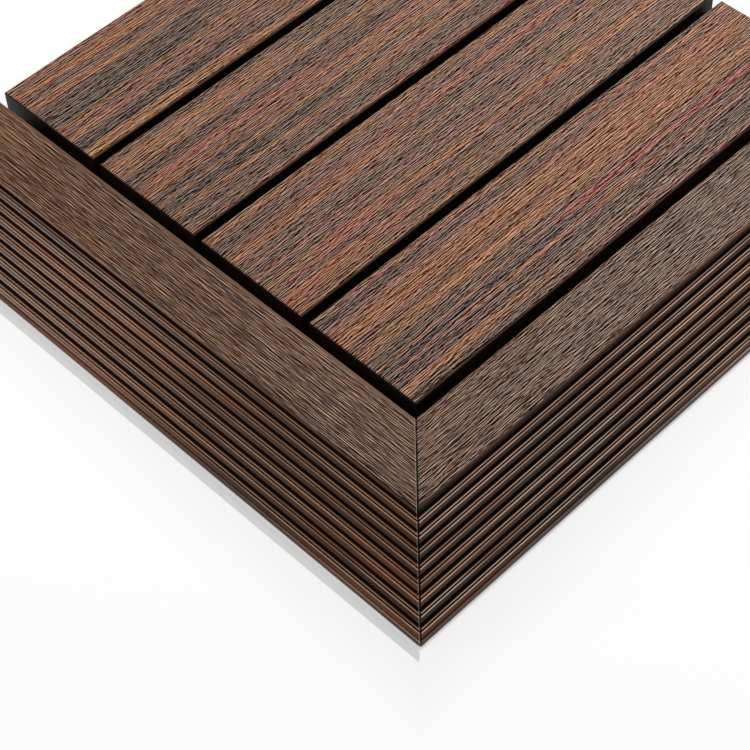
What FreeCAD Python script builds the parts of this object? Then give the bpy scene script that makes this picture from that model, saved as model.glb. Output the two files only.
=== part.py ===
import FreeCAD, Part
import math
import os

# One corner tile of a composite deck: four slats screwed to a moulded grid, edged on two
# sides by ribbed ramp trims that meet in a mitre. X runs along the slats, Y across them,
# and the mitred corner lies towards -X and -Y. All lengths are millimetres.

# Slats
slatCount = 4
slatLength = 304.0
slatWidth = 69.7
slatThickness = 13.0
slatGap = 5.3
slatSideRound = 1.3
slatEndChamfer = 0.7
fluteCount = 5
flutePitch = 12.0
fluteWidth = 5.0
fluteDepth = 1.4
fluteTaper = 0.8

# Moulded grid under the slats
gridHeight = 12.0
gridInset = 1.0
ribThickness = 2.4
ribClearOfFloor = 2.0
crossRibCount = 9
footRadius = 5.5
bossRadius = 6.0

# Loops on the two trimmed sides, and the pegs that hang from the two free sides
loopReach = 14.0
loopEndInset = 18.7
loopsPerSide = 3
loopRadius = 7.0
loopFloorGap = 0.5
loopTop = 5.0
neckWidth = 8.0
pegRadius = 3.8
pegTipGap = 0.8
pegChamfer = 0.6
pegClearance = 0.3
loopHeadroom = 0.5
pocketSideClearance = 2.5
shelfThickness = 2.5
shelfWidth = 26.0
tileSpacing = 6.0

# Upright tabs that keep the outer slats in line
tabWidth = 18.0
tabThickness = 1.6
tabRise = 5.5
tabClearance = 0.4

# Edge trims
trimGap = 6.0
trimFlat = 34.7
shoulderRun = 2.4
ribRun = 4.56
ribRows = 8
toeHeight = 3.0
toeLean = 0.6
toeRound = 0.5
innerRound = 1.0
mitreGap = 0.5
trimSkin = 5.0
legSetOut = 3.5
legThickness = 4.0
soleThickness = 3.0
chamberRound = 1.0

# Rib profile: places down the slope are shares of one rib's length from its groove's middle,
# and depths are taken from the line that the ribs' crests touch
grooveFrom = -0.04
grooveTo = 0.05
grooveDepth = 1.8
lipFrom = 0.22
lipTo = 0.30
lipDrop = 0.15
dipAt = 0.38
dipDrop = 0.9
crestFrom = 0.47
crestFromDrop = 0.15
crestTo = 0.54
faceTo = 0.92
faceDrop = 0.95
faceBulge = 0.2

# Connector strips and corner plate under the trims
connectorInset = 2.0
connectorLegGap = 2.0
connectorCornerGap = 1.0
connectorEndGap = 4.0
plateThickness = 2.5
skirtThickness = 2.0
webCount = 6
connectorBossRadius = 4.5
connectorGrip = 4.8
cornerPlateThickness = 3.5
cornerScrewIn = 7.0
cornerScrewOut = 15.0

# Screws; they, their holes and the grid's posts have few flat sides, because there are many
screwSides = 8
slatScrewLength = 16.0
slatGrip = 7.0
trimScrewLength = 12.0
trimScrewCount = 3
trimScrewEndInset = 42.0
screwRadius = 1.75
screwTip = 3.0
screwTipRadius = 0.4
headRadius = 3.5
headFaceRadius = 2.4
headHeight = 2.4
headClearance = 0.3
pilotClearance = 0.1
pilotEndGap = 0.8

# Sizes that follow from those above
slatPitch = slatWidth + slatGap
deckWidth = slatCount * slatPitch - slatGap
topHeight = gridHeight + slatThickness
loopBore = pegRadius + pegClearance
shelfBottom = loopTop + loopHeadroom
screwSpread = 3 * flutePitch
rampStart = trimFlat + shoulderRun
rampEnd = rampStart + ribRows * ribRun
trimWidth = rampEnd + toeLean
rampAngle = math.atan2(topHeight - toeHeight, rampEnd - trimFlat)
ribLength = ribRun / math.cos(rampAngle)
pilotRadius = screwRadius + pilotClearance
slatScrewSeat = gridHeight - slatGrip
trimScrewSeat = gridHeight - connectorGrip
cornerScrewSeat = gridHeight - cornerPlateThickness
legStart = trimFlat + legSetOut
connectorOuter = legStart - connectorLegGap
connectorWidth = connectorOuter - connectorInset
leftRun = deckWidth + trimGap
rightRun = slatLength + trimGap
tabReach = tabClearance + tabThickness


def point(x, y, z):
    return FreeCAD.Vector(x, y, z)


def block(x0, x1, y0, y1, z0, z1):
    return Part.makeBox(x1 - x0, y1 - y0, z1 - z0, point(x0, y0, z0))


def rod(radius, x, y, z0, z1):
    return Part.makeCylinder(radius, z1 - z0, point(x, y, z0))


def ring(flatRadius, x, y, z):
    """Corners of a screwSides-sided outline; the radius is measured to the sides' middles."""
    reach = flatRadius / math.cos(math.pi / screwSides)
    turns = [(2 * i + 1) * math.pi / screwSides for i in range(screwSides)]
    return [point(x + reach * math.cos(turn), y + reach * math.sin(turn), z) for turn in turns]


def flat(corners):
    return Part.Face(Part.makePolygon(corners + corners[:1]))


def taper(radius0, radius1, x, y, z0, z1):
    """Upright post with flat sides, radius0 at its foot and radius1 at its top."""
    low = ring(radius0, x, y, z0)
    high = ring(radius1, x, y, z1)
    faces = [flat(low), flat(high)]
    for i in range(screwSides):
        faces.append(flat([low[i - 1], low[i], high[i], high[i - 1]]))
    return Part.Solid(Part.Shell(faces))


def post(radius, x, y, z0, z1):
    return taper(radius, radius, x, y, z0, z1)


def spread(count, first, last):
    """Evenly spaced places from first to last."""
    step = (last - first) / (count - 1)
    return [first + i * step for i in range(count)]


def chain(start, steps):
    """Closed wire: a step of one point is a line, a step of two points is an arc through the first."""
    edges = []
    here = start
    for step in steps:
        there = step[-1]
        if len(step) == 1:
            edges.append(Part.makeLine(here, there))
        else:
            edges.append(Part.Arc(here, step[0], there).toShape())
        here = there
    edges.append(Part.makeLine(here, start))
    return Part.Wire(edges)


def roundedBar(width, height, corner, place):
    """Section of a bar whose two upper corners are rounded; place maps section to space."""
    lift = corner * (1 - math.sqrt(0.5))
    steps = [
        (place(width, 0),),
        (place(width, height - corner),),
        (place(width - lift, height - lift), place(width - corner, height)),
        (place(corner, height),),
        (place(lift, height - lift), place(0, height - corner)),
    ]
    return Part.Face(chain(place(0, 0), steps))


# Places shared by the slats, the grid and the screws
slatCentres = [slatWidth / 2 + i * slatPitch for i in range(slatCount)]
gapCentres = [centre + slatPitch / 2 for centre in slatCentres[:-1]]
gridEndX = slatLength - gridInset
gridEndY = deckWidth - gridInset
crossRibs = spread(crossRibCount, gridInset + ribThickness / 2, gridEndX - ribThickness / 2)
bossPlacesX = [crossRibs[1], crossRibs[-2]]
footPlacesX = [crossRibs[2], crossRibs[-3]]
slatScrewPlaces = [
    (x, centre + side * screwSpread / 2)
    for centre in slatCentres
    for x in bossPlacesX
    for side in (-1, 1)
]
loopPlacesX = spread(loopsPerSide, loopEndInset, slatLength - loopEndInset)
loopPlacesY = spread(loopsPerSide, loopEndInset, deckWidth - loopEndInset)


def slat(centre):
    """Composite board with eased upper edges and relief flutes along its underside."""
    y0 = centre - slatWidth / 2
    section = roundedBar(slatWidth, slatThickness, slatSideRound,
                         lambda across, up: point(0, y0 + across, gridHeight + up))
    board = section.extrude(point(slatLength, 0, 0))
    half = fluteWidth / 2
    cuts = []
    for end, inward in ((0, 1), (slatLength, -1)):
        corners = [
            point(end, y0, topHeight - slatEndChamfer),
            point(end, y0, topHeight),
            point(end + inward * slatEndChamfer, y0, topHeight),
        ]
        cuts.append(flat(corners).extrude(point(0, slatWidth, 0)))
    for i in range(fluteCount):
        y = centre + (i - (fluteCount - 1) / 2) * flutePitch
        corners = [
            point(0, y - half, gridHeight),
            point(0, y - half + fluteTaper, gridHeight + fluteDepth),
            point(0, y + half - fluteTaper, gridHeight + fluteDepth),
            point(0, y + half, gridHeight),
        ]
        cuts.append(flat(corners).extrude(point(slatLength, 0, 0)))
    tip = slatScrewSeat + slatScrewLength + pilotEndGap
    for x, y in slatScrewPlaces:
        if abs(y - centre) < slatWidth / 2:
            cuts.append(post(pilotRadius, x, y, gridHeight, tip))
    return board.cut(cuts)


def peg(x, y, top):
    """Peg with a chamfered tip, hanging from height top."""
    shank = rod(pegRadius, x, y, pegTipGap + pegChamfer, top)
    tip = Part.makeCone(pegRadius - pegChamfer, pegRadius, pegChamfer, point(x, y, pegTipGap))
    return shank.fuse(tip)


def baseGrid():
    """Moulded lattice with feet, screw bosses, loops, pegs and slat tabs, all one piece."""
    low = ribClearOfFloor
    half = ribThickness / 2
    lengthRibs = [gridInset + half] + slatCentres + gapCentres + [gridEndY - half]
    solids = [block(x - half, x + half, gridInset, gridEndY, low, gridHeight) for x in crossRibs]
    solids += [block(gridInset, gridEndX, y - half, y + half, low, gridHeight) for y in lengthRibs]
    solids += [post(footRadius, x, y, 0, gridHeight) for x in footPlacesX for y in slatCentres]
    solids += [post(bossRadius, x, y, slatScrewSeat, gridHeight) for x, y in slatScrewPlaces]
    rim = gridInset + half
    for x in loopPlacesX:
        solids.append(rod(loopRadius, x, -loopReach, loopFloorGap, loopTop))
        solids.append(block(x - neckWidth / 2, x + neckWidth / 2, -loopReach, rim, loopFloorGap, loopTop))
    for y in loopPlacesY:
        solids.append(rod(loopRadius, -loopReach, y, loopFloorGap, loopTop))
        solids.append(block(-loopReach, rim, y - neckWidth / 2, y + neckWidth / 2, loopFloorGap, loopTop))
    for x in loopPlacesX:
        for face, out in ((0, -1), (deckWidth, 1)):
            inner = face + out * tabClearance
            outer = face + out * tabReach
            root = face - out * rim
            x0 = x - tabWidth / 2
            x1 = x + tabWidth / 2
            tabTop = gridHeight + tabRise
            solids.append(block(x0, x1, min(root, outer), max(root, outer), shelfBottom, gridHeight))
            solids.append(block(x0, x1, min(inner, outer), max(inner, outer), gridHeight, tabTop))
    grid = solids[0].fuse(solids[1:])

    # Loop bores, screw passages and the pockets that take the next tile's loops
    cuts = [rod(loopBore, x, -loopReach, 0, gridHeight) for x in loopPlacesX]
    cuts += [rod(loopBore, -loopReach, y, 0, gridHeight) for y in loopPlacesY]
    cuts += [post(headRadius + headClearance, x, y, 0, slatScrewSeat) for x, y in slatScrewPlaces]
    cuts += [post(pilotRadius, x, y, slatScrewSeat, gridHeight) for x, y in slatScrewPlaces]
    pegX = slatLength + tileSpacing - loopReach
    pegY = deckWidth + tileSpacing - loopReach
    reach = loopRadius + pocketSideClearance
    cuts += [block(pegX - reach, slatLength, y - reach, y + reach, 0, shelfBottom) for y in loopPlacesY]
    cuts += [block(x - reach, x + reach, pegY - reach, deckWidth, 0, shelfBottom) for x in loopPlacesX]
    grid = grid.cut(cuts)

    additions = []
    shelfTop = shelfBottom + shelfThickness
    side = shelfWidth / 2
    for y in loopPlacesY:
        y0 = max(y - side, gridInset)
        y1 = min(y + side, gridEndY)
        additions.append(block(pegX - reach, gridEndX, y0, y1, shelfBottom, shelfTop))
        additions.append(peg(pegX, y, shelfBottom))
    for x in loopPlacesX:
        x0 = max(x - side, gridInset)
        x1 = min(x + side, gridEndX)
        additions.append(block(x0, x1, pegY - reach, gridEndY, shelfBottom, shelfTop))
        additions.append(peg(x, pegY, shelfBottom))
    return grid.fuse(additions).removeSplitter()


def shoulderRound(start, end):
    """Middle of the arc that leaves start level and turns down to end."""
    run = end.x - start.x
    drop = start.z - end.z
    radius = (run * run + drop * drop) / (2 * drop)
    turn = math.atan2(run, radius - drop) / 2
    return point(start.x + radius * math.sin(turn), 0, start.z - radius * (1 - math.cos(turn)))


def rampSpot(row, along, rise):
    """Point on the ribbed ramp, measured from a groove's middle down the slope and out of it."""
    groove = rampStart + row * ribRun
    out = groove + along * math.cos(rampAngle) + rise * math.sin(rampAngle)
    drop = (groove - trimFlat) * math.tan(rampAngle) + along * math.sin(rampAngle)
    return point(out, 0, topHeight - drop + rise * math.cos(rampAngle))


def trimSection():
    """Trim seen end on: flat top, rounded shoulder, ribbed ramp, leaning toe, leg and sole."""
    lift = innerRound * (1 - math.sqrt(0.5))
    flatEnd = point(trimFlat, 0, topHeight)
    shoulder = rampSpot(0, (faceTo - 1) * ribLength, -faceDrop)
    steps = [
        (point(0, 0, topHeight - innerRound),),
        (point(lift, 0, topHeight - lift), point(innerRound, 0, topHeight)),
        (flatEnd,),
        (shoulderRound(flatEnd, shoulder), shoulder),
    ]
    for row in range(ribRows):
        spot = lambda share, drop: rampSpot(row, share * ribLength, -drop)
        steps += [
            (spot(grooveFrom, grooveDepth),),
            (spot(grooveTo, grooveDepth),),
            (spot(lipFrom, lipDrop),),
            (spot(lipTo, lipDrop),),
            (spot(dipAt, dipDrop),),
            (spot(crestFrom, crestFromDrop),),
            (spot(crestTo, 0),),
            (spot((crestTo + faceTo) / 2, faceDrop / 2 - faceBulge), spot(faceTo, faceDrop)),
        ]
    steps += [
        (point(rampEnd, 0, toeHeight),),
        (point(trimWidth, 0, toeRound),),
        (point(trimWidth - toeRound, 0, 0),),
        (point(legStart, 0, 0),),
        (point(legStart, 0, gridHeight),),
    ]
    return Part.Face(chain(point(0, 0, gridHeight), steps))


def chamberSection():
    """Hollow along the ramp, its slope parallel to the ribs at the skin's thickness."""
    left = legStart + legThickness
    depth = trimSkin / math.cos(rampAngle)
    slope = math.tan(rampAngle)
    peak = topHeight - (left - trimFlat) * slope - depth
    right = trimFlat + (topHeight - soleThickness - depth) / slope
    corners = [
        point(left, 0, soleThickness),
        point(left, 0, peak),
        point(right, 0, soleThickness),
    ]
    return flat(corners)


def trimScrewPlaces(run):
    middle = connectorInset + connectorWidth / 2
    return [(middle, y) for y in spread(trimScrewCount, trimScrewEndInset, run - trimScrewEndInset)]


def cornerScrewPlaces():
    """Two places each side of the mitre, mirrored about it, given as distance out and along."""
    near = (connectorOuter - cornerScrewIn, -connectorOuter + cornerScrewIn + cornerScrewOut)
    far = (connectorInset + cornerScrewIn + cornerScrewOut, -connectorInset - cornerScrewIn)
    return [near, far]


def trim(run):
    """Edge trim lying along +Y with its outside towards +X, mitred at the origin end."""
    start = point(0, -trimWidth - mitreGap, 0)
    length = point(0, trimWidth + mitreGap + run, 0)
    body = trimSection().translated(start).extrude(length)
    hollow = chamberSection().translated(start).extrude(length)
    longEdges = [edge for edge in hollow.Edges if abs(edge.Length - length.y) < 0.001]
    body = body.cut(hollow.makeFillet(chamberRound, longEdges))

    # Mitre: everything beyond the diagonal, set back by half the joint's gap, is cut away
    setBack = mitreGap / 2 * math.sqrt(2)
    far = trimWidth + length.y
    corners = [
        point(-far, far + setBack, -topHeight),
        point(far, -far + setBack, -topHeight),
        point(-far, -far + setBack, -topHeight),
    ]
    cuts = [flat(corners).extrude(point(0, 0, 3 * topHeight))]
    for places, seat in ((trimScrewPlaces(run), trimScrewSeat), (cornerScrewPlaces(), cornerScrewSeat)):
        for out, along in places:
            cuts.append(post(pilotRadius, out, along, gridHeight, seat + trimScrewLength + pilotEndGap))
    return body.cut(cuts)


def connector(run, loops):
    """Moulded strip under a trim's flat: plate, skirt, webs, screw bosses and pegs."""
    y0 = -connectorCornerGap
    y1 = run - connectorEndGap
    x0 = connectorInset
    x1 = connectorOuter
    plateBottom = gridHeight - plateThickness
    strip = block(x0, x1, y0, y1, shelfBottom, gridHeight)
    bays = spread(webCount + 1, y0, y1 - skirtThickness)
    cuts = []
    for low, high in zip(bays, bays[1:]):
        cuts.append(block(x0 + skirtThickness, x1 - skirtThickness, low + skirtThickness, high,
                          shelfBottom, plateBottom))
    strip = strip.cut(cuts)
    additions = []
    for out, along in trimScrewPlaces(run):
        additions.append(post(connectorBossRadius, out, along, trimScrewSeat, gridHeight))
    for along in loops:
        out = loopReach - trimGap
        additions.append(rod(pegRadius, out, along, loopTop, gridHeight))
        additions.append(peg(out, along, loopTop))
    strip = strip.fuse(additions)
    passages = []
    for out, along in trimScrewPlaces(run):
        passages.append(post(headRadius + headClearance, out, along, 0, trimScrewSeat))
        passages.append(post(pilotRadius, out, along, trimScrewSeat, gridHeight))
    return strip.cut(passages).removeSplitter()


def toRight(shape):
    """From the trim's own lie to the side along the slats."""
    turned = shape.copy()
    turned.rotate(point(0, 0, 0), point(0, 0, 1), -90)
    return turned.translated(point(-trimGap, -trimGap, 0))


def toLeft(shape):
    """From the trim's own lie to the side across the slat ends, its mirror image."""
    return shape.mirror(point(0, 0, 0), point(1, 0, 0)).translated(point(-trimGap, -trimGap, 0))


def cornerPlate():
    """Plate that ties the two trims together across the mitre, with a hole for each screw."""
    low = -trimGap - connectorOuter
    high = -trimGap - connectorInset
    bevel = connectorWidth / 3
    bottom = gridHeight - cornerPlateThickness
    corners = [
        point(high, high, bottom),
        point(low, high, bottom),
        point(low, low + bevel, bottom),
        point(low + bevel, low, bottom),
        point(high, low, bottom),
    ]
    plate = flat(corners).extrude(point(0, 0, cornerPlateThickness))
    passages = []
    for out, along in cornerScrewPlaces():
        for x, y in ((-out, along), (along, -out)):
            passages.append(post(pilotRadius, x - trimGap, y - trimGap, bottom, gridHeight))
    return plate.cut(passages)


def screw(length, x, y, seat):
    """Pan-head screw driven upwards, its head's flat side against the seat."""
    head = taper(headFaceRadius, headRadius, x, y, seat - headHeight, seat)
    shank = post(screwRadius, x, y, seat, seat + length - screwTip)
    tip = taper(screwRadius, screwTipRadius, x, y, seat + length - screwTip, seat + length)
    return head.fuse([shank, tip]).removeSplitter()


slats = {"slat_%d" % (i + 1): slat(centre) for i, centre in enumerate(slatCentres)}
leftLoops = [y + trimGap for y in loopPlacesY]
rightLoops = [x + trimGap for x in loopPlacesX]
slatScrews = [screw(slatScrewLength, x, y, slatScrewSeat) for x, y in slatScrewPlaces]
trimScrews = []
for run, place in ((leftRun, toLeft), (rightRun, toRight)):
    for out, along in trimScrewPlaces(run):
        trimScrews.append(place(screw(trimScrewLength, out, along, trimScrewSeat)))
    for out, along in cornerScrewPlaces():
        trimScrews.append(place(screw(trimScrewLength, out, along, cornerScrewSeat)))

pieces = dict(slats)
pieces["base_grid"] = baseGrid()
pieces["slat_screws"] = Part.makeCompound(slatScrews)
pieces["left_edge_trim"] = toLeft(trim(leftRun))
pieces["right_edge_trim"] = toRight(trim(rightRun))
pieces["left_trim_connector"] = toLeft(connector(leftRun, leftLoops))
pieces["right_trim_connector"] = toRight(connector(rightRun, rightLoops))
pieces["corner_plate"] = cornerPlate()
pieces["trim_screws"] = Part.makeCompound(trimScrews)

# The origin is the middle of the whole footprint, at the height of the floor
footprintMiddle = point(
    (slatLength - trimGap - trimWidth) / 2,
    (deckWidth + tabReach - trimGap - trimWidth) / 2,
    0,
)

os.makedirs("parts", exist_ok=True)
for name, shape in pieces.items():
    placed = shape.translated(footprintMiddle * -1)
    placed.exportStep("parts/%s.step" % name)
    print(name, len(placed.Solids), "solids", round(placed.Volume / 1000, 2), "cm3", placed.isValid())
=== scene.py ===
import bmesh
import bpy
import math
from mathutils import Matrix, Vector


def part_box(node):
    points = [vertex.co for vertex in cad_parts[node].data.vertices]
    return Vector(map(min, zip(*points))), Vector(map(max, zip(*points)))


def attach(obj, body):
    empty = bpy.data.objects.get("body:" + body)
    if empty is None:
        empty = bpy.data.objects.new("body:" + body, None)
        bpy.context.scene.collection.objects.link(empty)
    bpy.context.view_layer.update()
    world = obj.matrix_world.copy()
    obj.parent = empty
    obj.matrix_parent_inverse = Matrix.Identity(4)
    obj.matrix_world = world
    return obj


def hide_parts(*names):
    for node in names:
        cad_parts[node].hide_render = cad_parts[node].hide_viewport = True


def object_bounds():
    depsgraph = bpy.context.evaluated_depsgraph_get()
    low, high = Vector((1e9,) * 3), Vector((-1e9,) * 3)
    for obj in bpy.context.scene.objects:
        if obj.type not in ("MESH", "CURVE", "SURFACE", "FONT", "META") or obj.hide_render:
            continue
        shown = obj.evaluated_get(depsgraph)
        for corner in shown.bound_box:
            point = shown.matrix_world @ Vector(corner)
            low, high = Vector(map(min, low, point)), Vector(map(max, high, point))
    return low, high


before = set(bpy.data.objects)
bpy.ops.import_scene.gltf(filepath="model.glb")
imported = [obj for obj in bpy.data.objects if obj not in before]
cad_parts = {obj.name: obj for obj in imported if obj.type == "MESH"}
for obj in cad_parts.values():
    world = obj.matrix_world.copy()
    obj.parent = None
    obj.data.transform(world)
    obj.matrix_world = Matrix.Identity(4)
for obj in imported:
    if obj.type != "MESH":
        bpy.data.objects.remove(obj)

# One corner tile of a composite deck with its two ribbed edge trims, laid on a pale studio floor.
# Grain runs along X in the slats and the right trim, and along Y in the left trim.
# Blender's units are metres. The dictionaries of the pieces are in millimetres, and those of the
# floor, the camera and the lamps in metres.

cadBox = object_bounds()
mmPerMetre = 1000

# Settings that many nodes share
smooth = {"interpolation_type": "SMOOTHSTEP"}
rgba = {"data_type": "RGBA"}


def hexColor(text):
    values = [int(text[i:i + 2], 16) / 255 for i in (1, 3, 5)]
    linear = [v / 12.92 if v <= 0.04045 else ((v + 0.055) / 1.055) ** 2.4 for v in values]
    return (*linear, 1.0)


def addNode(tree, kind, inputs=(), **settings):
    # inputs are given in order or by name: a node or socket is linked, a value or hex colour is set
    node = tree.nodes.new("ShaderNode" + kind)
    for key, value in settings.items():
        setattr(node, key, value)
    sockets = [socket for socket in node.inputs if socket.enabled]
    if isinstance(inputs, dict):
        pairs = [(next(s for s in sockets if s.name == name), value) for name, value in inputs.items()]
    else:
        pairs = zip(sockets, inputs)
    for socket, value in pairs:
        if isinstance(value, bpy.types.Node):
            value = next(output for output in value.outputs if output.enabled)
        if isinstance(value, bpy.types.NodeSocket):
            tree.links.new(value, socket)
        else:
            socket.default_value = hexColor(value) if isinstance(value, str) else value
    return node


def newMaterial(name):
    material = bpy.data.materials.new(name)
    material.use_nodes = True
    material.node_tree.nodes.clear()
    return material, material.node_tree


def rampColors(node, stops):
    # stops are (place, hex) pairs, in rising order
    elements = node.color_ramp.elements
    while len(elements) < len(stops):
        elements.new(0.5)
    for element, (place, color) in zip(elements, stops):
        element.position = place
        element.color = hexColor(color)


def dress(node, material):
    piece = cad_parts[node]
    piece.data.materials.clear()
    piece.data.materials.append(material)
    for polygon in piece.data.polygons:
        polygon.material_index = 0


def addPiece(shape, name, node, sharpAngle):
    # turns a finished bmesh into a smooth shaded piece that stands for a node of the frame
    bmesh.ops.recalc_face_normals(shape, faces=shape.faces)
    mesh = bpy.data.meshes.new(name)
    shape.to_mesh(mesh)
    shape.free()
    mesh.polygons.foreach_set("use_smooth", [True] * len(mesh.polygons))
    mesh.set_sharp_from_angle(angle=math.radians(sharpAngle))
    piece = bpy.data.objects.new(name, mesh)
    bpy.context.collection.objects.link(piece)
    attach(piece, "root")
    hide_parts(node)
    return piece


# How grain is drawn in every material. A noise is as long and wide as the material's look says, and three
# times as tall as wide. "usual" is the flank that shows its full share, and the powers of red, green and
# blue make the painted shade on dark flanks deep and warm.
grainLook = {
    "roughness": 0.55, "tallness": 3,
    "usual": 0.06, "powers": (1.8, 2.2, 2.55), "brightest": 1.9, "calmTone": 1.04, "calmRelief": 0.5,
    "paintedHighlightRange": (1.3, 1.95, 0, 0.7), "shinyFlank": (-0.08, 0.15),
    "crumb": 0.9, "crumbRange": (0.35, 0.65), "sawnDepth": (0.45, 0.2),
}


def grainPlace(tree, origin, alongY):
    # millimetres along the grain, across it and up, from the piece's own low corner
    spot = addNode(tree, "TexCoord").outputs["Object"]
    moved = addNode(tree, "VectorMath", [spot, origin], operation="SUBTRACT")
    scaled = addNode(tree, "VectorMath", [moved, mmPerMetre], operation="SCALE")
    along, across, up = addNode(tree, "SeparateXYZ", [scaled]).outputs
    if alongY:
        along, across = across, along
    return along, across, up


def grainNoise(tree, place, length, width, shift, detail=2.0):
    # shift takes the noise from another part of the same pattern
    spots = []
    for part, size in zip(place, (length, width, width * grainLook["tallness"])):
        spots.append(addNode(tree, "Math", [part, 1 / size, shift], operation="MULTIPLY_ADD"))
    vector = addNode(tree, "CombineXYZ", spots)
    inputs = {"Vector": vector, "Scale": 1.0, "Detail": detail, "Roughness": grainLook["roughness"]}
    return addNode(tree, "TexNoise", inputs)


def bend(tree, place, look, shift):
    # lets the grain run slightly askew, as the melt does
    along, across, up = place
    wave = grainNoise(tree, place, look["wobbleLength"], look["wobbleWidth"], shift, detail=0)
    slack = addNode(tree, "Math", [wave, 2 * look["wobble"], -look["wobble"]], operation="MULTIPLY_ADD")
    bent = addNode(tree, "Math", [across, slack], operation="ADD")
    return along, bent, up


def ridges(tree, place, look, shift):
    # the height of ridges side by side, and how far each spot lies on a lit or a dark flank
    along, across, up = place
    beside = addNode(tree, "Math", [across, look["ridgeGap"]], operation="ADD")
    height = flank = None
    for length, width, share in look["ridges"]:
        near = grainNoise(tree, place, length, width, shift + length)
        far = grainNoise(tree, (along, beside, up), length, width, shift + length)
        rise = addNode(tree, "Math", [near, far], operation="SUBTRACT")
        part = addNode(tree, "Math", [rise, share], operation="MULTIPLY")
        flank = addNode(tree, "Math", [flank, part], operation="ADD") if flank else part
        height = addNode(tree, "Math", [height, near], operation="ADD") if height else near
    # in patches the flanks are shifted lighter or darker, and the painted light and shade of the emboss
    # shift with them
    patch = grainNoise(tree, place, look["patchLength"], look["patchWidth"], shift + look["patchShift"])
    press = addNode(tree, "Math", [patch, look["patches"], -look["patches"] / 2], operation="MULTIPLY_ADD")
    return height, addNode(tree, "Math", [flank, press], operation="ADD")


def embossed(tree, color, flank, look, calm):
    # painted light and shade of the emboss: flanks turned from the key lamp are painted dark, deep and warm,
    # and flanks facing it are painted pale, leaning to a pale painted highlight hue, less so where calm.
    # Faint flanks show less than their share, so that single pits and fibres stand out.
    faint = look["faint"]
    steepness = addNode(tree, "Math", [flank], operation="ABSOLUTE")
    gain = (1 - faint) / grainLook["usual"]
    weight = addNode(tree, "Math", [steepness, gain, faint], operation="MULTIPLY_ADD")
    flank = addNode(tree, "Math", [flank, weight], operation="MULTIPLY")
    tone = addNode(tree, "Math", [flank, look["contrast"], 1.0], operation="MULTIPLY_ADD")
    tone = addNode(tree, "Math", [tone, 0.0], operation="MAXIMUM")
    tone = addNode(tree, "Mix", [calm, tone, grainLook["calmTone"]])
    capped = addNode(tree, "Math", [tone, grainLook["brightest"]], operation="MINIMUM")
    levels = [addNode(tree, "Math", [capped, power], operation="POWER") for power in grainLook["powers"]]
    shade = addNode(tree, "CombineColor", levels)
    color = addNode(tree, "Mix", [1.0, color, shade], blend_type="MULTIPLY", **rgba)
    share = addNode(tree, "MapRange", [tone, *grainLook["paintedHighlightRange"]])
    return addNode(tree, "Mix", [share, color, look["paintedHighlight"]], **rgba)


def sawnEnd(tree, tail, place, look, color, calm):
    # the last fraction of a millimetre before a cut shows the crumbly inside of the board
    ended = addNode(tree, "MapRange", [tail, *grainLook["sawnDepth"]], **smooth)
    crumb = grainNoise(tree, place, grainLook["crumb"], grainLook["crumb"], look["crumbShift"])
    mixed = addNode(tree, "MapRange", [crumb, *grainLook["crumbRange"]], **smooth)
    inside = addNode(tree, "Mix", [mixed, *look["sawn"]], **rgba)
    color = addNode(tree, "Mix", [ended, color, inside], **rgba)
    return color, addNode(tree, "Math", [calm, ended], operation="MAXIMUM")


def grainSurface(tree, look, color, relief, calm, roughness, shine):
    # pits and fibres lie flat where the board is calm
    relief = addNode(tree, "Mix", [calm, relief, grainLook["calmRelief"]])
    depth = look["bumpDepth"] / mmPerMetre
    bump = addNode(tree, "Bump", {"Strength": 1.0, "Distance": depth, "Height": relief})
    inputs = {"Base Color": color, "Roughness": roughness, "Specular IOR Level": shine, "Normal": bump}
    surface = addNode(tree, "BsdfPrincipled", inputs)
    addNode(tree, "OutputMaterial", {"Surface": surface})


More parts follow.
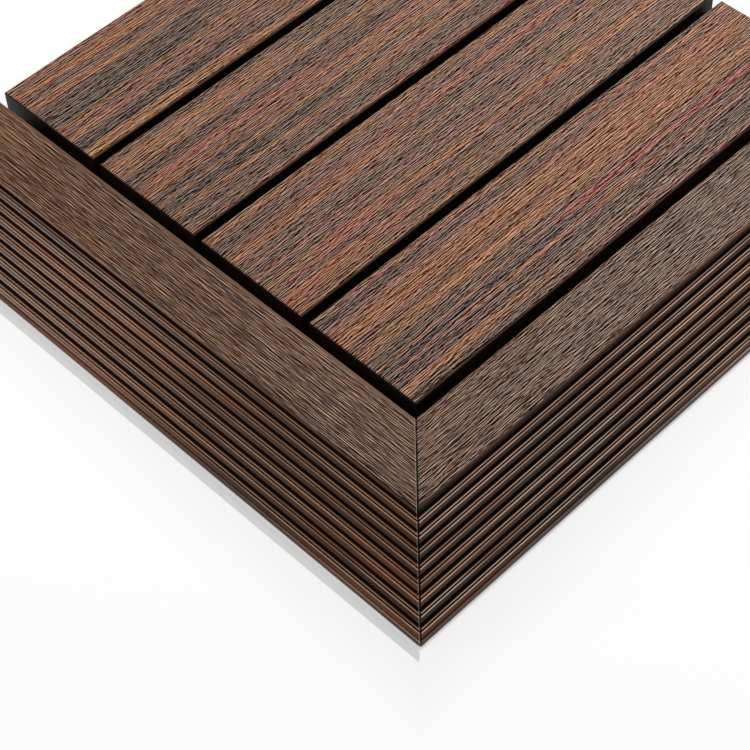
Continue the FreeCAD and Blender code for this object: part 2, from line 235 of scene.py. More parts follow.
# Slats: wood and plastic composite, extruded and then embossed by a roller. It is matt and streaked
# along its length where two pigments were fed in unevenly, with short pits and raised fibres in its
# top. Each band is hue, middle across the slat, width, and start and end along it. A range is what
# comes in, from and to, and then what goes out, where that isn't 0 to 1.
slatLook = {
    "streakLength": 500.0, "streakWidth": 8.0, "streakRange": (0.3, 0.7),
    "colors": [(0.0, "#4c4140"), (0.25, "#6b524b"), (0.48, "#855e53"), (0.62, "#9d6751"),
               (0.78, "#b2724f"), (1.0, "#c07a50")],
    "tintLength": 320.0, "tintWidth": 7.0, "tintRange": (0.36, 0.64), "tints": ("#e8f0d2", "#ffe2e0"),
    "threadLength": 200.0, "threadWidth": 2.4, "threadRange": (0.3, 0.7, 0.44, 1.33),
    "veinLength": 260.0, "veinWidth": 2.0,
    "veins": [("#a8694b", (0.46, 0.36, 0, 0.4)), ("#2a2a2e", (0.54, 0.63, 0, 0.6))],
    "bands": {
        "slat_1": [
            ("#2b2d32", 22.5, 4.0, -20, 160),
            ("#a8663f", 50.0, 6.5, -20, 330),
            ("#a44a3d", 27.0, 4.5, 130, 330),
            ("#ad6e49", 8.5, 4.0, -20, 90),
        ],
        "slat_2": [
            ("#a8663f", 49.0, 6.0, -20, 130),
            ("#a85440", 24.0, 4.5, 35, 95),
            ("#ad6c45", 20.0, 4.0, 200, 330),
        ],
        "slat_3": [
            ("#2f2e30", 49.0, 3.0, -20, 170),
            ("#302f30", 29.0, 4.5, -20, 75),
            ("#302f30", 20.5, 5.5, -20, 135),
            ("#343335", 10.0, 4.0, -20, 45),
            ("#a76742", 61.0, 6.5, -20, 130),
            ("#a35a43", 41.0, 5.0, 5, 135),
        ],
        "slat_4": [
            ("#ac683f", 60.0, 5.0, -20, 110),
            ("#ad663d", 47.0, 3.5, -20, 90),
            ("#3a3736", 33.0, 9.0, -20, 120),
            ("#302f31", 12.0, 6.0, -20, 130),
            ("#aa6a42", 6.0, 3.0, -20, 120),
        ],
    },
    "bandBreaks": (0.22, 0.42), "bandEdge": (0.8, 0.2), "bandShare": 0.95,
    "bandStart": (-8, 14), "bandEnd": (10, -30),
    "ridges": [(5.0, 0.60, 0.8), (36.0, 0.70, 0.65)], "ridgeGap": 0.45, "contrast": 8.6, "faint": 0.7,
    # the emboss's flanks are painted light and dark, and the lit ones lean to the pale painted highlight hue
    # on this line
    "patchLength": 6.0, "patchWidth": 7.0, "patches": 0.1, "paintedHighlight": "#cfa88c",
    "wobbleLength": 120.0, "wobbleWidth": 40.0, "wobble": 1.2,
    # the arrises are painted paler, a painted highlight along the rounded edges
    "arris": (0.84, 0.36), "arrisHighlightShare": 0.6, "arrisHighlightColor": "#7a665a", "calmBelow": (0.1, 0.9),
    "skin": "#241a15", "skinBelow": (1.6, 0.7), "sawn": ("#1a120e", "#33261f"),
    "roughness": 0.5, "bumpDepth": 0.3, "shine": 0.4, "calmShine": 0.15,
    "seed": 7.3, "threadShift": 3, "ridgeShift": 5, "patchShift": 2, "veinShift": 11, "tintShift": 17,
    "crumbShift": 13.0,
}


def slatPigments(tree, node, place, seed):
    # broad streaks, a tint of red or green, thin threads and veins, and the listed bands
    look = slatLook
    along, across = place[:2]
    streak = grainNoise(tree, place, look["streakLength"], look["streakWidth"], seed)
    level = addNode(tree, "MapRange", [streak, *look["streakRange"]])
    color = addNode(tree, "ValToRGB", [level])
    rampColors(color, look["colors"])
    shift = seed + look["tintShift"]
    tint = grainNoise(tree, place, look["tintLength"], look["tintWidth"], shift, detail=1)
    tintShare = addNode(tree, "MapRange", [tint, *look["tintRange"]], **smooth)
    tinted = addNode(tree, "Mix", [tintShare, *look["tints"]], **rgba)
    color = addNode(tree, "Mix", [1.0, color, tinted], blend_type="MULTIPLY", **rgba)
    thread = grainNoise(tree, place, look["threadLength"], look["threadWidth"], seed + look["threadShift"])
    threadTone = addNode(tree, "MapRange", [thread, *look["threadRange"]])
    color = addNode(tree, "Mix", [1.0, color, threadTone], blend_type="MULTIPLY", **rgba)
    vein = grainNoise(tree, place, look["veinLength"], look["veinWidth"], seed + look["veinShift"])
    for hue, veinRange in look["veins"]:
        share = addNode(tree, "MapRange", [vein, *veinRange], **smooth)
        color = addNode(tree, "Mix", [share, color, hue], **rgba)
    # the bands show only where the thread lets them, so that they break up
    broken = addNode(tree, "MapRange", [thread, *look["bandBreaks"]], **smooth)
    for hue, middle, breadth, start, end in look["bands"][node]:
        offset = addNode(tree, "Math", [across, middle], operation="SUBTRACT")
        reach = addNode(tree, "Math", [offset], operation="ABSOLUTE")
        edge = [breadth * part for part in look["bandEdge"]]
        inside = addNode(tree, "MapRange", [reach, *edge, 0, look["bandShare"]], **smooth)
        begun = addNode(tree, "MapRange", [along, *(start + step for step in look["bandStart"])], **smooth)
        left = addNode(tree, "MapRange", [along, *(end + step for step in look["bandEnd"])], **smooth)
        between = addNode(tree, "Math", [begun, left], operation="MULTIPLY")
        body = addNode(tree, "Math", [broken, inside], operation="MULTIPLY")
        share = addNode(tree, "Math", [between, body], operation="MULTIPLY")
        color = addNode(tree, "Mix", [share, color, hue], **rgba)
    return color


def compositeSlat(node):
    look = slatLook
    low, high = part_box(node)
    length, width, height = [(high[axis] - low[axis]) * mmPerMetre for axis in range(3)]
    material, tree = newMaterial("embossed_wood_plastic_" + node)
    straight = grainPlace(tree, low, False)
    seed = look["seed"] * int(node[-1])
    place = bend(tree, straight, look, seed)
    along, across, up = straight
    color = slatPigments(tree, node, place, seed)
    relief, flank = ridges(tree, place, look, seed + look["ridgeShift"])
    # the roller leaves the side walls and the arrises plain
    beyond = addNode(tree, "Math", [width, across], operation="SUBTRACT")
    inset = addNode(tree, "Math", [across, beyond], operation="MINIMUM")
    wall = addNode(tree, "MapRange", [up, *(height - depth for depth in look["calmBelow"])], **smooth)
    arris = addNode(tree, "MapRange", [inset, *look["arris"]], **smooth)
    calm = addNode(tree, "Math", [wall, arris], operation="MAXIMUM")
    # a painted highlight: the arrises are painted paler near both long edges
    arrisHighlight = addNode(tree, "MapRange", [inset, *look["arris"], 0, look["arrisHighlightShare"]], **smooth)
    color = addNode(tree, "Mix", [arrisHighlight, color, look["arrisHighlightColor"]], **rgba)
    color = embossed(tree, color, flank, look, calm)
    # the extruder's dark skin shows on the walls, and the saw's marks on both ends
    skinned = addNode(tree, "MapRange", [up, *(height - depth for depth in look["skinBelow"])], **smooth)
    color = addNode(tree, "Mix", [skinned, look["skin"], color], **rgba)
    rest = addNode(tree, "Math", [length, along], operation="SUBTRACT")
    tail = addNode(tree, "Math", [along, rest], operation="MINIMUM")
    color, calm = sawnEnd(tree, tail, straight, look, color, calm)
    # only the raised flanks shine
    bright = addNode(tree, "MapRange", [flank, *grainLook["shinyFlank"], 0, look["shine"]])
    shine = addNode(tree, "Mix", [calm, bright, look["calmShine"]])
    grainSurface(tree, look, color, relief, calm, look["roughness"], shine)
    return material


# Edge trims: each is drawn from one section, out from its inner face and up from the floor. A rib
# is drawn by places on the ramp: shares of its length down the slope, and depths under the line
# that touches the crests.
trimShape = {
    "height": 25.0, "flat": 34.7, "shoulder": 2.4, "ribRun": 4.56, "ribs": 8, "toe": 3.0,
    "toeStep": (0.1, 0.5), "toeLean": 0.6, "toeRound": 0.5, "innerRound": 1.0, "seat": 12.0,
    "leg": 38.2, "legThickness": 4.0, "sole": 3.0, "skin": 5.0, "mitreGap": 0.5,
    "shoulderEnd": (-0.07, 0.75),
    "groove": [(-0.04, 1.8), (0.05, 1.8)],
    "lip": [(0.20, 0.35), (0.26, 0.05), (0.32, 0.35)],
    "dip": [(0.38, 0.9)],
    "crest": [(0.45, 0.25), (0.505, 0.0), (0.56, 0.15)],
    "back": [(0.56, 0.15), (0.74, 0.36), (0.92, 0.95)],
    "flatSteps": 3, "shoulderSteps": 6, "cornerSteps": 5, "toeSteps": 4, "crestSteps": 4, "backSteps": 6,
    "sharpAngle": 38,
}
arcInset = 0.293  # how far the middle of a quarter arc lies in from both sides, as a share of its radius
tiny = 1e-6  # metres, within which two places count as one


def arcPoints(start, middle, end, count):
    # points after start on the circle through three places
    a, b, c = Vector(start), Vector(middle), Vector(end)
    size = 2 * ((a.x - c.x) * (b.y - c.y) - (b.x - c.x) * (a.y - c.y))
    p = a.length_squared - c.length_squared
    q = b.length_squared - c.length_squared
    centre = Vector(((p * (b.y - c.y) - q * (a.y - c.y)) / size, (q * (a.x - c.x) - p * (b.x - c.x)) / size))
    turn = (a - centre).angle_signed(b - centre) + (b - centre).angle_signed(c - centre)
    arm = a - centre
    points = []
    for i in range(1, count + 1):
        angle = -turn * i / count
        points.append((centre.x + arm.x * math.cos(angle) - arm.y * math.sin(angle),
                       centre.y + arm.x * math.sin(angle) + arm.y * math.cos(angle)))
    return points


def rampSize():
    # the trim's width, and the angle of the line from the flat's end to the toe
    shape = trimShape
    width = shape["flat"] + shape["shoulder"] + shape["ribs"] * shape["ribRun"]
    return width, math.atan2(shape["height"] - shape["toe"], width - shape["flat"])


def rampPlace(row, share, depth):
    # row counts the ribs from the flat down
    shape = trimShape
    angle = rampSize()[1]
    groove = shape["flat"] + shape["shoulder"] + row * shape["ribRun"]
    length = shape["ribRun"] / math.cos(angle)
    out = groove + share * length * math.cos(angle) - depth * math.sin(angle)
    fall = (groove - shape["flat"]) * math.tan(angle) + share * length * math.sin(angle)
    return out, shape["height"] - fall - depth * math.cos(angle)


def trimOutline():
    # from the seat on the inner face over the flat, the shoulder and the ribs to the toe and the leg
    shape = trimShape
    width = rampSize()[0]
    top, flat, toe = shape["height"], shape["flat"], shape["toe"]
    r = shape["innerRound"]
    points = [(0, shape["seat"]), (0, top - r)]
    points += arcPoints((0, top - r), (r * arcInset, top - r * arcInset), (r, top), shape["cornerSteps"])
    for i in range(1, shape["flatSteps"] + 1):
        points.append((r + (flat - r) * i / shape["flatSteps"], top))
    # the shoulder turns down from the flat to the first groove
    out, up = rampPlace(0, *shape["shoulderEnd"])
    run, drop = out - flat, top - up
    radius = (run * run + drop * drop) / (2 * drop)
    steps = shape["shoulderSteps"]
    for i in range(1, steps + 1):
        turn = math.asin(min(1, run / radius)) * i / steps
        points.append((flat + radius * math.sin(turn), top - radius * (1 - math.cos(turn))))
    for row in range(shape["ribs"]):
        parts = ("groove", "lip", "dip", "crest", "back")
        groove, lip, dip, crest, back = [[rampPlace(row, *spot) for spot in shape[part]] for part in parts]
        points += groove + lip[:1] + arcPoints(*lip, shape["crestSteps"]) + dip
        points += crest[:1] + arcPoints(*crest, shape["crestSteps"]) + arcPoints(*back, shape["backSteps"])
    r = shape["toeRound"]
    foot = width + shape["toeLean"]
    out, down = shape["toeStep"]
    points += [(width + out, toe - down), (foot, r)]
    points += arcPoints((foot, r), (foot - r * arcInset, r * arcInset), (foot - r, 0), shape["toeSteps"])
    return points + [(shape["leg"], 0), (shape["leg"], shape["seat"])]


def trimHollow():
    # a triangle under the ramp, between the leg, the sole and the ribbed skin
    shape = trimShape
    angle = rampSize()[1]
    slope = math.tan(angle)
    depth = shape["skin"] / math.cos(angle)
    left = shape["leg"] + shape["legThickness"]
    peak = shape["height"] - (left - shape["flat"]) * slope - depth
    right = shape["flat"] + (shape["height"] - shape["sole"] - depth) / slope
    return [(left, shape["sole"]), (right, shape["sole"]), (left, peak)]


def trimBoard(node, name):
    # from the mitre, where a point starts as much earlier as it lies further out, to the far end
    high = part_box(node)[1]
    inner = (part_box("left_edge_trim")[1][0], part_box("right_edge_trim")[1][1])
    axis = 1 if node.startswith("left") else 0
    setBack = trimShape["mitreGap"] / 2 * math.sqrt(2) / mmPerMetre
    board = bmesh.new()
    for loop in (trimOutline(), trimHollow()):
        rings = []
        for atFarEnd in (False, True):
            ring = []
            for out, up in loop:
                out, up = out / mmPerMetre, max(0, up) / mmPerMetre
                spot = [inner[0] - out, inner[1] - out, up]
                spot[axis] = high[axis] if atFarEnd else inner[axis] - out + setBack
                ring.append(board.verts.new(spot))
            rings.append(ring)
        count = len(loop)
        for i in range(count):
            j = (i + 1) % count
            board.faces.new((rings[0][i], rings[0][j], rings[1][j], rings[1][i]))
    openEdges = [edge for edge in board.edges if edge.is_boundary]
    for atFarEnd in (False, True):
        rim = [edge for edge in openEdges
               if all((vert.co[axis] > high[axis] - tiny) == atFarEnd for vert in edge.verts)]
        bmesh.ops.triangle_fill(board, use_beauty=True, edges=rim)
    return addPiece(board, name, node, trimShape["sharpAngle"])


# The trims are of the same composite, with a finer roller grain on the flat and none on the ramp, where the
# drawn extrusion keeps long soft patches of the two pigments. The lip, the shoulder and the first crest are
# placed from the flat's end, and the toe's shade from the board's outer edge. Light is painted in too:
# painted shade in the grooves and a painted shadow line under the right board's lip, a painted highlight
# along the crests, a pale painted highlight hue on the flat's lit flanks, and the mitre's arris painted pale
# on the left board and near black on the right.
trimLook = {
    "streakLength": 160.0, "streakWidth": 6.0, "streakRange": (0.2, 0.8), "streakShift": 2.0,
    "ridgeGap": 0.42, "patchLength": 8.0, "patchWidth": 6.5, "patches": 0.12,
    "wobbleLength": 120.0, "wobbleWidth": 40.0, "wobble": 0.4,
    "plainBlur": 0.8, "innerStrip": "#74503a",
    "lipStart": (0.7, 1.3), "lipEnd": (2.6, 2.2), "groove": "#140804",
    "deepest": (3.5, 3.05), "toeShade": (0.8, 1.4, 0.5, 1.0),
    "crestDepth": (0.22, 0.08), "crestStart": (1.6, 2.4),
    "highlightBreakLength": 70.0, "highlightBreakWidth": 1.6, "highlightBreakRange": (0.36, 0.6, 0.45, 1.2),
    "mitreRange": (0.66, 0.42), "sawn": ("#3a2a20", "#62493a"), "bumpDepth": 0.25,
    "flatRoughness": 0.45, "rampRoughness": 0.3, "shine": 0.5, "calmShine": 0.2, "grooveShine": 0.1,
    "ridgeShift": 4.0, "patchShift": 2, "highlightBreakShift": 23.0, "crumbShift": 13.0,
    "left_edge_trim": {
        "colors": [(0.25, "#553a2c"), (0.45, "#60402d"), (0.6, "#69462d"), (0.8, "#764d30")],
        "ribColors": [(0.3, "#4e3022"), (0.45, "#613922"), (0.6, "#734325"), (0.75, "#864d2a")],
        "ridges": [(11.0, 0.52, 0.85), (60.0, 0.60, 0.5)], "contrast": 3.7, "faint": 0.45,
        "paintedHighlight": "#cfa686", "shade": (0.78, 1.6), "lip": 0.0, "shoulder": (0.5, 1.5), "plainEdge": 2.2,
        "mitrePaintedLight": "#c4a68c", "mitrePaintedShare": 0.6, "crest": "#e8bf9d", "crestHighlightShare": 0.55,
        "rampShine": 0.25, "bendShift": 3.1,
    },
    "right_edge_trim": {
        "colors": [(0.25, "#4c2f21"), (0.45, "#553422"), (0.6, "#5f3a24"), (0.8, "#6a4128")],
        "ribColors": [(0.3, "#4c3428"), (0.45, "#623f2b"), (0.6, "#74482e"), (0.75, "#875130")],
        "ridges": [(7.5, 0.54, 0.85), (50.0, 0.60, 0.5)], "contrast": 7.8, "faint": 0.6,
        "paintedHighlight": "#dcb9a0", "shade": (0.35, 1.1), "lip": 0.85, "shoulder": (-0.5, 0.3), "plainEdge": 0.6,
        "mitrePaintedLight": "#050302", "mitrePaintedShare": 1.0, "crest": "#ffe0ca", "crestHighlightShare": 0.75,
        "rampShine": 0.45, "bendShift": 8.7,
    },
}


def grooveShade(tree, look, out, depth, onRamp, width):
    # painted shade darkens the grooves, and a painted shadow line lies under the right board's lip
    flat = trimShape["flat"]
    deep = addNode(tree, "MapRange", [depth, *look["shade"]], **smooth)
    shade = addNode(tree, "Math", [deep, onRamp], operation="MULTIPLY")
    begun = addNode(tree, "MapRange", [out, *(flat + x for x in look["lipStart"]), 0, look["lip"]], **smooth)
    left = addNode(tree, "MapRange", [out, *(flat + x for x in look["lipEnd"])], **smooth)
    lip = addNode(tree, "Math", [begun, left], operation="MULTIPLY")
    shade = addNode(tree, "Math", [shade, lip], operation="MAXIMUM")
    # the hidden faces under the ramp keep the board's own colour, and the toe takes half the painted shade
    near = addNode(tree, "MapRange", [depth, *look["deepest"]], **smooth)
    start, end, low, high = look["toeShade"]
    toe = addNode(tree, "MapRange", [out, width - start, width - end, low, high], **smooth)
    shown = addNode(tree, "Math", [near, toe], operation="MULTIPLY")
    return addNode(tree, "Math", [shade, shown], operation="MULTIPLY")


def compositeTrim(node):
    look = {**trimLook, **trimLook[node]}  # what both share, and its own
    low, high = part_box(node)
    alongY = node.startswith("left")
    length, width = [(high[axis] - low[axis]) * mmPerMetre for axis in ((1, 0) if alongY else (0, 1))]
    flat = trimShape["flat"]
    slope = math.tan(rampSize()[1])
    material, tree = newMaterial("ribbed_wood_plastic_" + node)
    straight = grainPlace(tree, low, alongY)
    along, across, up = straight
    place = bend(tree, straight, look, look["bendShift"])
    out = addNode(tree, "Math", [width, across], operation="SUBTRACT")
    shift = look["streakShift"]
    streak = grainNoise(tree, place, look["streakLength"], look["streakWidth"], shift, detail=3)
    relief, flank = ridges(tree, place, look, look["ridgeShift"])
    level = addNode(tree, "MapRange", [streak, *look["streakRange"]])
    color = addNode(tree, "ValToRGB", [level])
    rampColors(color, look["colors"])
    ribColor = addNode(tree, "ValToRGB", [level])
    rampColors(ribColor, look["ribColors"])
    # the roller misses a strip along the inner edge, and all of the ramp
    plain = (look["plainEdge"] + look["plainBlur"], look["plainEdge"] - look["plainBlur"])
    inner = addNode(tree, "MapRange", [out, *plain], **smooth)
    onRamp = addNode(tree, "MapRange", [out, *(flat + x for x in look["shoulder"])], **smooth)
    calm = addNode(tree, "Math", [inner, onRamp], operation="MAXIMUM")
    if alongY:
        color = addNode(tree, "Mix", [inner, color, look["innerStrip"]], **rgba)
    color = embossed(tree, color, flank, look, calm)
    color = addNode(tree, "Mix", [onRamp, color, ribColor], **rgba)
    # depth under the line that the crests touch
    line = addNode(tree, "Math", [out, -slope, trimShape["height"] + slope * flat], operation="MULTIPLY_ADD")
    depth = addNode(tree, "Math", [line, up], operation="SUBTRACT")
    shade = grooveShade(tree, look, out, depth, onRamp, width)
    # the grooves and the line under the right board's lip take their painted shade here
    color = addNode(tree, "Mix", [shade, color, look["groove"]], **rgba)
    # a painted highlight lies along the crests, strong in some stretches and faint in others
    top = addNode(tree, "MapRange", [depth, *look["crestDepth"], 0, look["crestHighlightShare"]], **smooth)
    begun = addNode(tree, "MapRange", [out, *(flat + x for x in look["crestStart"])], **smooth)
    crestHighlight = addNode(tree, "Math", [top, begun], operation="MULTIPLY")
    highlightBreak = grainNoise(tree, straight, look["highlightBreakLength"], look["highlightBreakWidth"], look["highlightBreakShift"])
    highlightKept = addNode(tree, "MapRange", [highlightBreak, *look["highlightBreakRange"]], **smooth)
    crestHighlight = addNode(tree, "Math", [crestHighlight, highlightKept], operation="MULTIPLY")
    color = addNode(tree, "Mix", [crestHighlight, color, look["crest"]], **rgba)
    # the arris along the mitre is painted light: pale on the left board as a painted highlight, near black
    # on the right one as painted shade
    inward = addNode(tree, "Math", [along, out], operation="ADD")
    cut = addNode(tree, "Math", [inward, width], operation="SUBTRACT")
    mitreLight = addNode(tree, "MapRange", [cut, *look["mitreRange"], 0, look["mitrePaintedShare"]], **smooth)
    color = addNode(tree, "Mix", [mitreLight, color, look["mitrePaintedLight"]], **rgba)
    tail = addNode(tree, "Math", [length, along], operation="SUBTRACT")
    color, calm = sawnEnd(tree, tail, straight, look, color, calm)
    roughness = addNode(tree, "MapRange", [onRamp, 0, 1, look["flatRoughness"], look["rampRoughness"]])
    bright = addNode(tree, "MapRange", [flank, *grainLook["shinyFlank"], 0, look["shine"]])
    bright = addNode(tree, "Mix", [calm, bright, look["calmShine"]])
    bright = addNode(tree, "Mix", [onRamp, bright, look["rampShine"]])
    shine = addNode(tree, "Mix", [shade, bright, look["grooveShine"]])
    grainSurface(tree, look, color, relief, calm, roughness, shine)
    return material


# Grid, connectors and corner plate: black polypropylene, moulded with a fine spark-eroded texture.
# Its soft sheen picks the tabs and ribs out in the dark gaps.
plasticLook = {
    "colors": ("#0a0a0b", "#161617"), "roughness": (0.2, 0.34), "metallic": 0.0,
    "cloud": 18.0, "cloudRange": (0.3, 0.7), "grain": 0.35, "grainDepth": 0.03,
    "cloudShift": 1.7, "grainShift": 4.1,
}
# Screws: zinc-plated steel, with the faint straw tint of its passivation
steelLook = {
    "colors": ("#9a9b9c", "#c9c4b4"), "roughness": (0.22, 0.42), "metallic": 1.0,
    "cloud": 1.6, "cloudRange": (0.3, 0.7), "grain": 0.12, "grainDepth": 0.01,
    "cloudShift": 1.7, "grainShift": 4.1,
}


def cloudedSurface(name, look):
    # shade and gloss drift together in soft clouds over a fine grain
    material, tree = newMaterial(name)
    place = grainPlace(tree, (0, 0, 0), False)
    cloud = grainNoise(tree, place, look["cloud"], look["cloud"], look["cloudShift"], detail=3)
    grain = grainNoise(tree, place, look["grain"], look["grain"], look["grainShift"], detail=1)
    share = addNode(tree, "MapRange", [cloud, *look["cloudRange"]], **smooth)
    color = addNode(tree, "Mix", [share, *look["colors"]], **rgba)
    roughness = addNode(tree, "MapRange", [cloud, *look["cloudRange"], *look["roughness"]])
    depth = look["grainDepth"] / mmPerMetre
    bump = addNode(tree, "Bump", {"Strength": 1.0, "Distance": depth, "Height": grain})
    inputs = {"Base Color": color, "Metallic": look["metallic"], "Roughness": roughness, "Normal": bump}
    surface = addNode(tree, "BsdfPrincipled", inputs)
    addNode(tree, "OutputMaterial", {"Surface": surface})
    return material


# Cross-head screws, from the head's outer face up to the tip. The head is a list of radii and
# heights. The thread grows over its first rows of points, and each of its flanks takes up
# "flankTurns" of a turn. The recess's floor is given as shares of its arms' size.
screwShape = {
    "sides": 24, "core": 1.25, "thread": 0.45, "pitch": 1.8, "ringsPerTurn": 6, "flankTurns": 0.22,
    "head": [(1.95, 0.0), (2.6, 0.12), (3.1, 0.45), (3.4, 0.95), (3.5, 1.5), (3.5, 2.15), (3.38, 2.4)],
    "headHeight": 2.4, "threadStart": 4, "tip": 3.0, "tipTaper": 0.12,
    "armReach": 1.7, "armWidth": 0.9, "recessDepth": 1.4, "recessReach": 0.55, "recessWidth": 0.6,
    "sharpAngle": 40,
}


def crossOutline(reach, width):
    points = []
    for quarter in range(4):
        turn = Matrix.Rotation(quarter * math.pi / 2, 2)
        for spot in ((reach, -width / 2), (reach, width / 2), (width / 2, width / 2)):
            points.append(turn @ Vector(spot))
    return points


def addRing(mesh, spots, z, foot):
    scaled = [(x / mmPerMetre, y / mmPerMetre, z / mmPerMetre) for x, y in spots]
    return [mesh.verts.new((foot[0] + x, foot[1] + y, foot[2] + up)) for x, y, up in scaled]


def joinRings(mesh, low, high):
    for i in range(len(low)):
        mesh.faces.new((low[i - 1], low[i], high[i], high[i - 1]))


def threadRadius(z, length, turnShare, row):
    # the thread rises from the core over its first rows and shrinks towards the tip
    shape = screwShape
    tipStart = length - shape["tip"]
    taper = 1.0 if z < tipStart else max(shape["tipTaper"], (length - z) / shape["tip"])
    phase = (z / shape["pitch"] - turnShare) % 1
    flank = max(0.0, 1 - abs(phase - 0.5) / shape["flankTurns"])
    return (shape["core"] + shape["thread"] * flank * min(1, row / shape["threadStart"])) * taper


def addScrew(mesh, foot, length):
    shape = screwShape
    sides = shape["sides"]
    circle = [(math.cos(2 * math.pi * i / sides), math.sin(2 * math.pi * i / sides)) for i in range(sides)]
    rings = [addRing(mesh, [(r * x, r * y) for x, y in circle], z, foot) for r, z in shape["head"]]
    shank = length - shape["headHeight"]
    rows = round(shank / (shape["pitch"] / shape["ringsPerTurn"]))
    for row in range(rows + 1):
        z = shape["headHeight"] + shank * row / rows
        spots = []
        for i, (x, y) in enumerate(circle):
            radius = threadRadius(z, length, i / sides, row)
            spots.append((radius * x, radius * y))
        rings.append(addRing(mesh, spots, z, foot))
    for low, high in zip(rings, rings[1:]):
        joinRings(mesh, low, high)
    mesh.faces.new(rings[-1])
    # the driver's recess narrows towards its floor
    reach, width = shape["armReach"], shape["armWidth"]
    rim = addRing(mesh, crossOutline(reach, width), 0, foot)
    narrow = crossOutline(reach * shape["recessReach"], width * shape["recessWidth"])
    bottom = addRing(mesh, narrow, shape["recessDepth"], foot)
    joinRings(mesh, bottom, rim)
    for loops in ((rings[0], rim), (bottom,)):
        edges = []
        for loop in loops:
            for pair in zip(loop[-1:] + loop[:-1], loop):
                edges.append(mesh.edges.get(pair) or mesh.edges.new(pair))
        bmesh.ops.triangle_fill(mesh, use_beauty=True, edges=edges)


def screwFeet(node):
    # the lowest middle place and the length of every separate screw in the frame's own group
    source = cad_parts[node]
    whole = bmesh.new()
    whole.from_mesh(source.data)
    bmesh.ops.remove_doubles(whole, verts=whole.verts, dist=tiny)
    left = set(whole.verts)
    feet = []
    while left:
        island = []
        queue = [left.pop()]
        while queue:
            vert = queue.pop()
            island.append(source.matrix_world @ vert.co)
            for edge in vert.link_edges:
                other = edge.other_vert(vert)
                if other in left:
                    left.discard(other)
                    queue.append(other)
        low = [min(v[axis] for v in island) for axis in range(3)]
        high = [max(v[axis] for v in island) for axis in range(3)]
        middle = ((low[0] + high[0]) / 2, (low[1] + high[1]) / 2, low[2])
        feet.append((middle, (high[2] - low[2]) * mmPerMetre))
    whole.free()
    return sorted(feet)


def screwGroup(node, name):
    group = bmesh.new()
    for foot, length in screwFeet(node):
        addScrew(group, foot, length)
    return addPiece(group, name, node, screwShape["sharpAngle"])


for node in slatLook["bands"]:
    dress(node, compositeSlat(node))
print("slats dressed")
for side in ("left", "right"):
    board = trimBoard(side + "_edge_trim", side + "_ribbed_trim")
    board.data.materials.append(compositeTrim(side + "_edge_trim"))
    print(side, "trim built,", len(board.data.polygons), "faces")
black = cloudedSurface("moulded_black_polypropylene", plasticLook)
for node in ("base_grid", "left_trim_connector", "right_trim_connector", "corner_plate"):
    dress(node, black)
print("grid, connectors and corner plate dressed")
steel = cloudedSurface("zinc_plated_steel", steelLook)
for node in ("slat_screws", "trim_screws"):
    group = screwGroup(node, "cross_head_" + node)
    group.data.materials.append(steel)
    print(node, "built,", len(group.data.polygons), "faces")


# Pale floor. It glows a little to the camera, as a lit sweep does, and its glow stops just inside the
# object's outline, so that no light shows through the joints. Close to the object its glow is dimmed, a
# painted soft shadow. Beside the left board lies a painted strip of shadow, which runs on past the near
# corner.
floorLook = {
    "size": 8.0, "paper": "#e7e7e7", "glow": 0.5, "margin": 0.0005, "nearShadeRange": (0.0, 0.045, 0.84, 1.0),
    "shadow": 0.66, "shadowStart": (0.0012, 0.0028), "shadowEnd": (0.0058, 0.0053), "shadowSlant": 0.82,
}


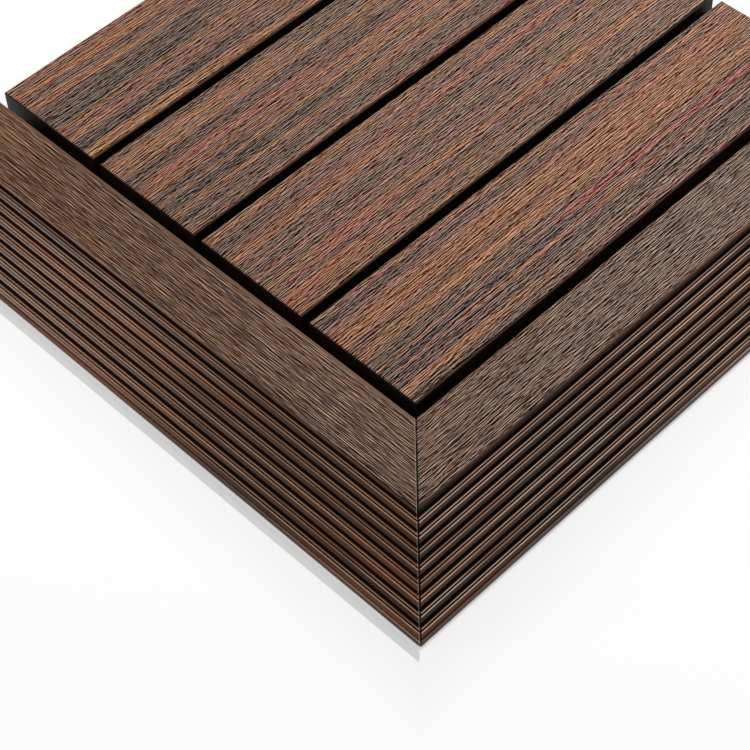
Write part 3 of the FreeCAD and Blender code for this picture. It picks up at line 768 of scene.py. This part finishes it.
def paperFloor(look, lowCorner, highCorner):
    material, tree = newMaterial("pale_studio_floor")
    spot = addNode(tree, "TexCoord").outputs["Object"]
    apart = addNode(tree, "VectorMath", [spot], operation="ABSOLUTE")
    offsets = []
    for side, reach in zip(addNode(tree, "SeparateXYZ", [apart]).outputs, highCorner[:2]):
        offsets.append(addNode(tree, "Math", [side, reach - look["margin"]], operation="SUBTRACT"))
    beyond = addNode(tree, "Math", offsets, operation="MAXIMUM")
    outside = addNode(tree, "Math", [beyond, 0.0], operation="GREATER_THAN")
    # painted shade: the glow fades down close to the object's outline
    nearShade = addNode(tree, "MapRange", [beyond, *look["nearShadeRange"]], **smooth)
    clear = addNode(tree, "Math", [outside, nearShade], operation="MULTIPLY")
    # the painted strip of shadow lies between the outline's left side and a line beside it
    x, y = addNode(tree, "SeparateXYZ", [spot]).outputs[:2]
    leftward = addNode(tree, "Math", [x, -1.0, lowCorner[0]], operation="MULTIPLY_ADD")
    slant = addNode(tree, "Math", [leftward, look["shadowSlant"], y], operation="MULTIPLY_ADD")
    alongside = addNode(tree, "Math", [slant, 0.0, highCorner[1]], operation="COMPARE")
    begun = addNode(tree, "MapRange", [leftward, *look["shadowStart"]], **smooth)
    left = addNode(tree, "MapRange", [leftward, *look["shadowEnd"]], **smooth)
    strip = addNode(tree, "Math", [begun, left], operation="MULTIPLY")
    shadow = addNode(tree, "Math", [alongside, strip], operation="MULTIPLY")
    lit = addNode(tree, "Math", [shadow, -look["shadow"], 1.0], operation="MULTIPLY_ADD")
    clear = addNode(tree, "Math", [clear, lit], operation="MULTIPLY")
    path = addNode(tree, "LightPath").outputs
    seen = addNode(tree, "Math", [path["Is Camera Ray"], path["Is Glossy Ray"]], operation="ADD")
    seen = addNode(tree, "Math", [seen, path["Is Transmission Ray"]], operation="ADD")
    seen = addNode(tree, "Math", [seen, look["glow"]], operation="MULTIPLY")
    seen = addNode(tree, "Math", [seen, clear], operation="MULTIPLY")
    paper = addNode(tree, "BsdfDiffuse", {"Color": look["paper"]})
    glow = addNode(tree, "Emission", {"Strength": seen})
    both = addNode(tree, "AddShader", [paper, glow])
    addNode(tree, "OutputMaterial", {"Surface": both})
    return material


bpy.ops.mesh.primitive_plane_add(size=floorLook["size"], location=(0, 0, 0))
floor = bpy.context.object
floor.name = "studio_floor"
floor.data.materials.append(paperFloor(floorLook, *cadBox))
print("floor laid")

# Camera, at the photograph's own place and with its lens
view = {
    "place": (-0.53283, -0.53225, 0.79982),
    "right": (0.70370, -0.70987, -0.02976),
    "up": (0.5696, 0.5387, 0.6208),
    "back": (-0.42465, -0.45380, 0.78341),
    "lens": 103.65, "sensor": 36.0, "farthest": 50.0,
}
camera = bpy.data.objects.new("camera", bpy.data.cameras.new("camera"))
bpy.context.collection.objects.link(camera)
turn = Matrix((view["right"], view["up"], view["back"])).transposed().to_4x4()
camera.matrix_world = Matrix.Translation(view["place"]) @ turn
camera.data.lens = view["lens"]
camera.data.sensor_width = view["sensor"]
camera.data.clip_end = view["farthest"]
bpy.context.scene.camera = camera

# Soft studio light: a key from behind on the right, a low lamp along the left ribs, and a white room
lamps = {
    "key_softbox": {"place": (1.5, 0.7, 1.6), "aim": (0, 0, 0), "size": 0.5, "power": 30.0, "spread": 180},
    "left_softbox": {"place": (-0.98, 0.66, 0.09), "aim": (-0.19, 0.07, 0.02), "size": 0.16, "power": 1.0,
                     "spread": 120},
}
room = {"color": "#ffffff", "strength": 0.28}
for name, lamp in lamps.items():
    light = bpy.data.lights.new(name, "AREA")
    light.size = lamp["size"]
    light.energy = lamp["power"]
    light.spread = math.radians(lamp["spread"])
    holder = bpy.data.objects.new(name, light)
    bpy.context.collection.objects.link(holder)
    holder.location = lamp["place"]
    aim = Vector(lamp["aim"]) - Vector(lamp["place"])
    holder.rotation_euler = aim.to_track_quat("-Z", "Y").to_euler()
world = bpy.data.worlds.new("studio")
bpy.context.scene.world = world
world.use_nodes = True
background = world.node_tree.nodes["Background"]
background.inputs["Color"].default_value = hexColor(room["color"])
background.inputs["Strength"].default_value = room["strength"]
bpy.context.scene.view_settings.view_transform = "Standard"
print("camera and lights set")
